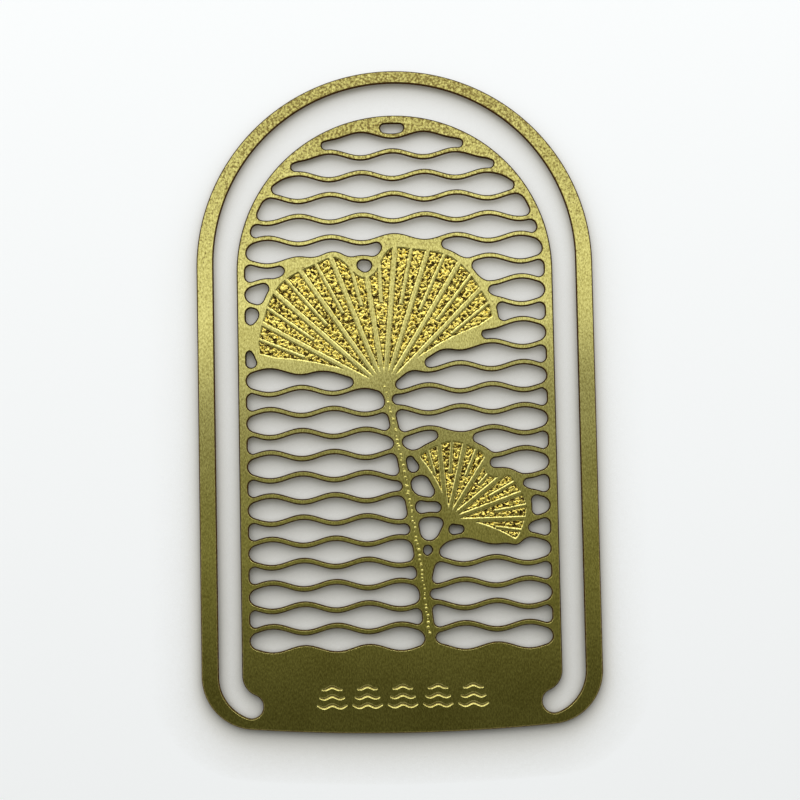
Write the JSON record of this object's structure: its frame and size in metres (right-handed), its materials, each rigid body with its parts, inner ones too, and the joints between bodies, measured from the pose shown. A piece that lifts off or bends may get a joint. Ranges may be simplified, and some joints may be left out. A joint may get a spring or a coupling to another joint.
{
  "type": "page clip bookmark",
  "caption": "Flat etched-brass page clip bookmark: an arched outer loop round a springy arched tongue of rippled bars with a fan-leaf relief, joined at a solid plaque.",
  "frame": {"origin": "middle of the outline on the back face of the sheet", "axes": "+Y from the plaque to the crown of the arch, +X to the right seen from the front, +Z out of the front face"},
  "size_m": [0.045, 0.075, 0.0005],
  "materials": {
    "rolled_brass": "satin rolled sheet, lightly tarnished",
    "etched_relief_brass": "half-etched stipple with dark recesses"
  },
  "bodies": {
    "base": {"base_plaque": "rolled_brass"},
    "loop": {"loop_arch": "rolled_brass", "loop_leg_left": "rolled_brass", "loop_leg_right": "rolled_brass"},
    "tongue": {"leaf_large": "etched_relief_brass", "leaf_small": "etched_relief_brass", "rim_arch": "rolled_brass", "rim_left": "rolled_brass", "rim_right": "rolled_brass", "ripple_bar_01": "rolled_brass", "ripple_bar_02": "rolled_brass", "ripple_bar_03": "rolled_brass", "ripple_bar_04": "rolled_brass", "ripple_bar_05": "rolled_brass", "ripple_bar_06": "rolled_brass", "ripple_bar_07": "rolled_brass", "ripple_bar_08": "rolled_brass", "ripple_bar_09": "rolled_brass", "ripple_bar_10": "rolled_brass", "ripple_bar_11": "rolled_brass", "ripple_bar_12": "rolled_brass", "ripple_bar_13": "rolled_brass", "ripple_bar_14": "rolled_brass", "ripple_bar_15": "rolled_brass", "ripple_bar_16": "rolled_brass", "ripple_bar_17": "rolled_brass", "ripple_bar_18": "rolled_brass", "ripple_bar_19": "rolled_brass", "ripple_bar_20": "rolled_brass", "ripple_bar_21": "rolled_brass", "ripple_bar_22": "rolled_brass", "ripple_bar_23": "rolled_brass", "ripple_bar_24": "rolled_brass", "stem_branch": "rolled_brass", "stem_main": "rolled_brass"}
  },
  "joints": [
    {"name": "loop_flex", "type": "hinge", "parent": "base", "child": "loop", "pos_m": [0, -0.02701, 0.00025], "axis": [1, 0, 0], "range_deg": [-12, 12], "stiffness_Nm_per_rad": 0.15},
    {"name": "tongue_flex", "type": "hinge", "parent": "base", "child": "tongue", "pos_m": [0, -0.02701, 0.00025], "axis": [1, 0, 0], "range_deg": [-12, 12], "stiffness_Nm_per_rad": 0.13}
  ]
}
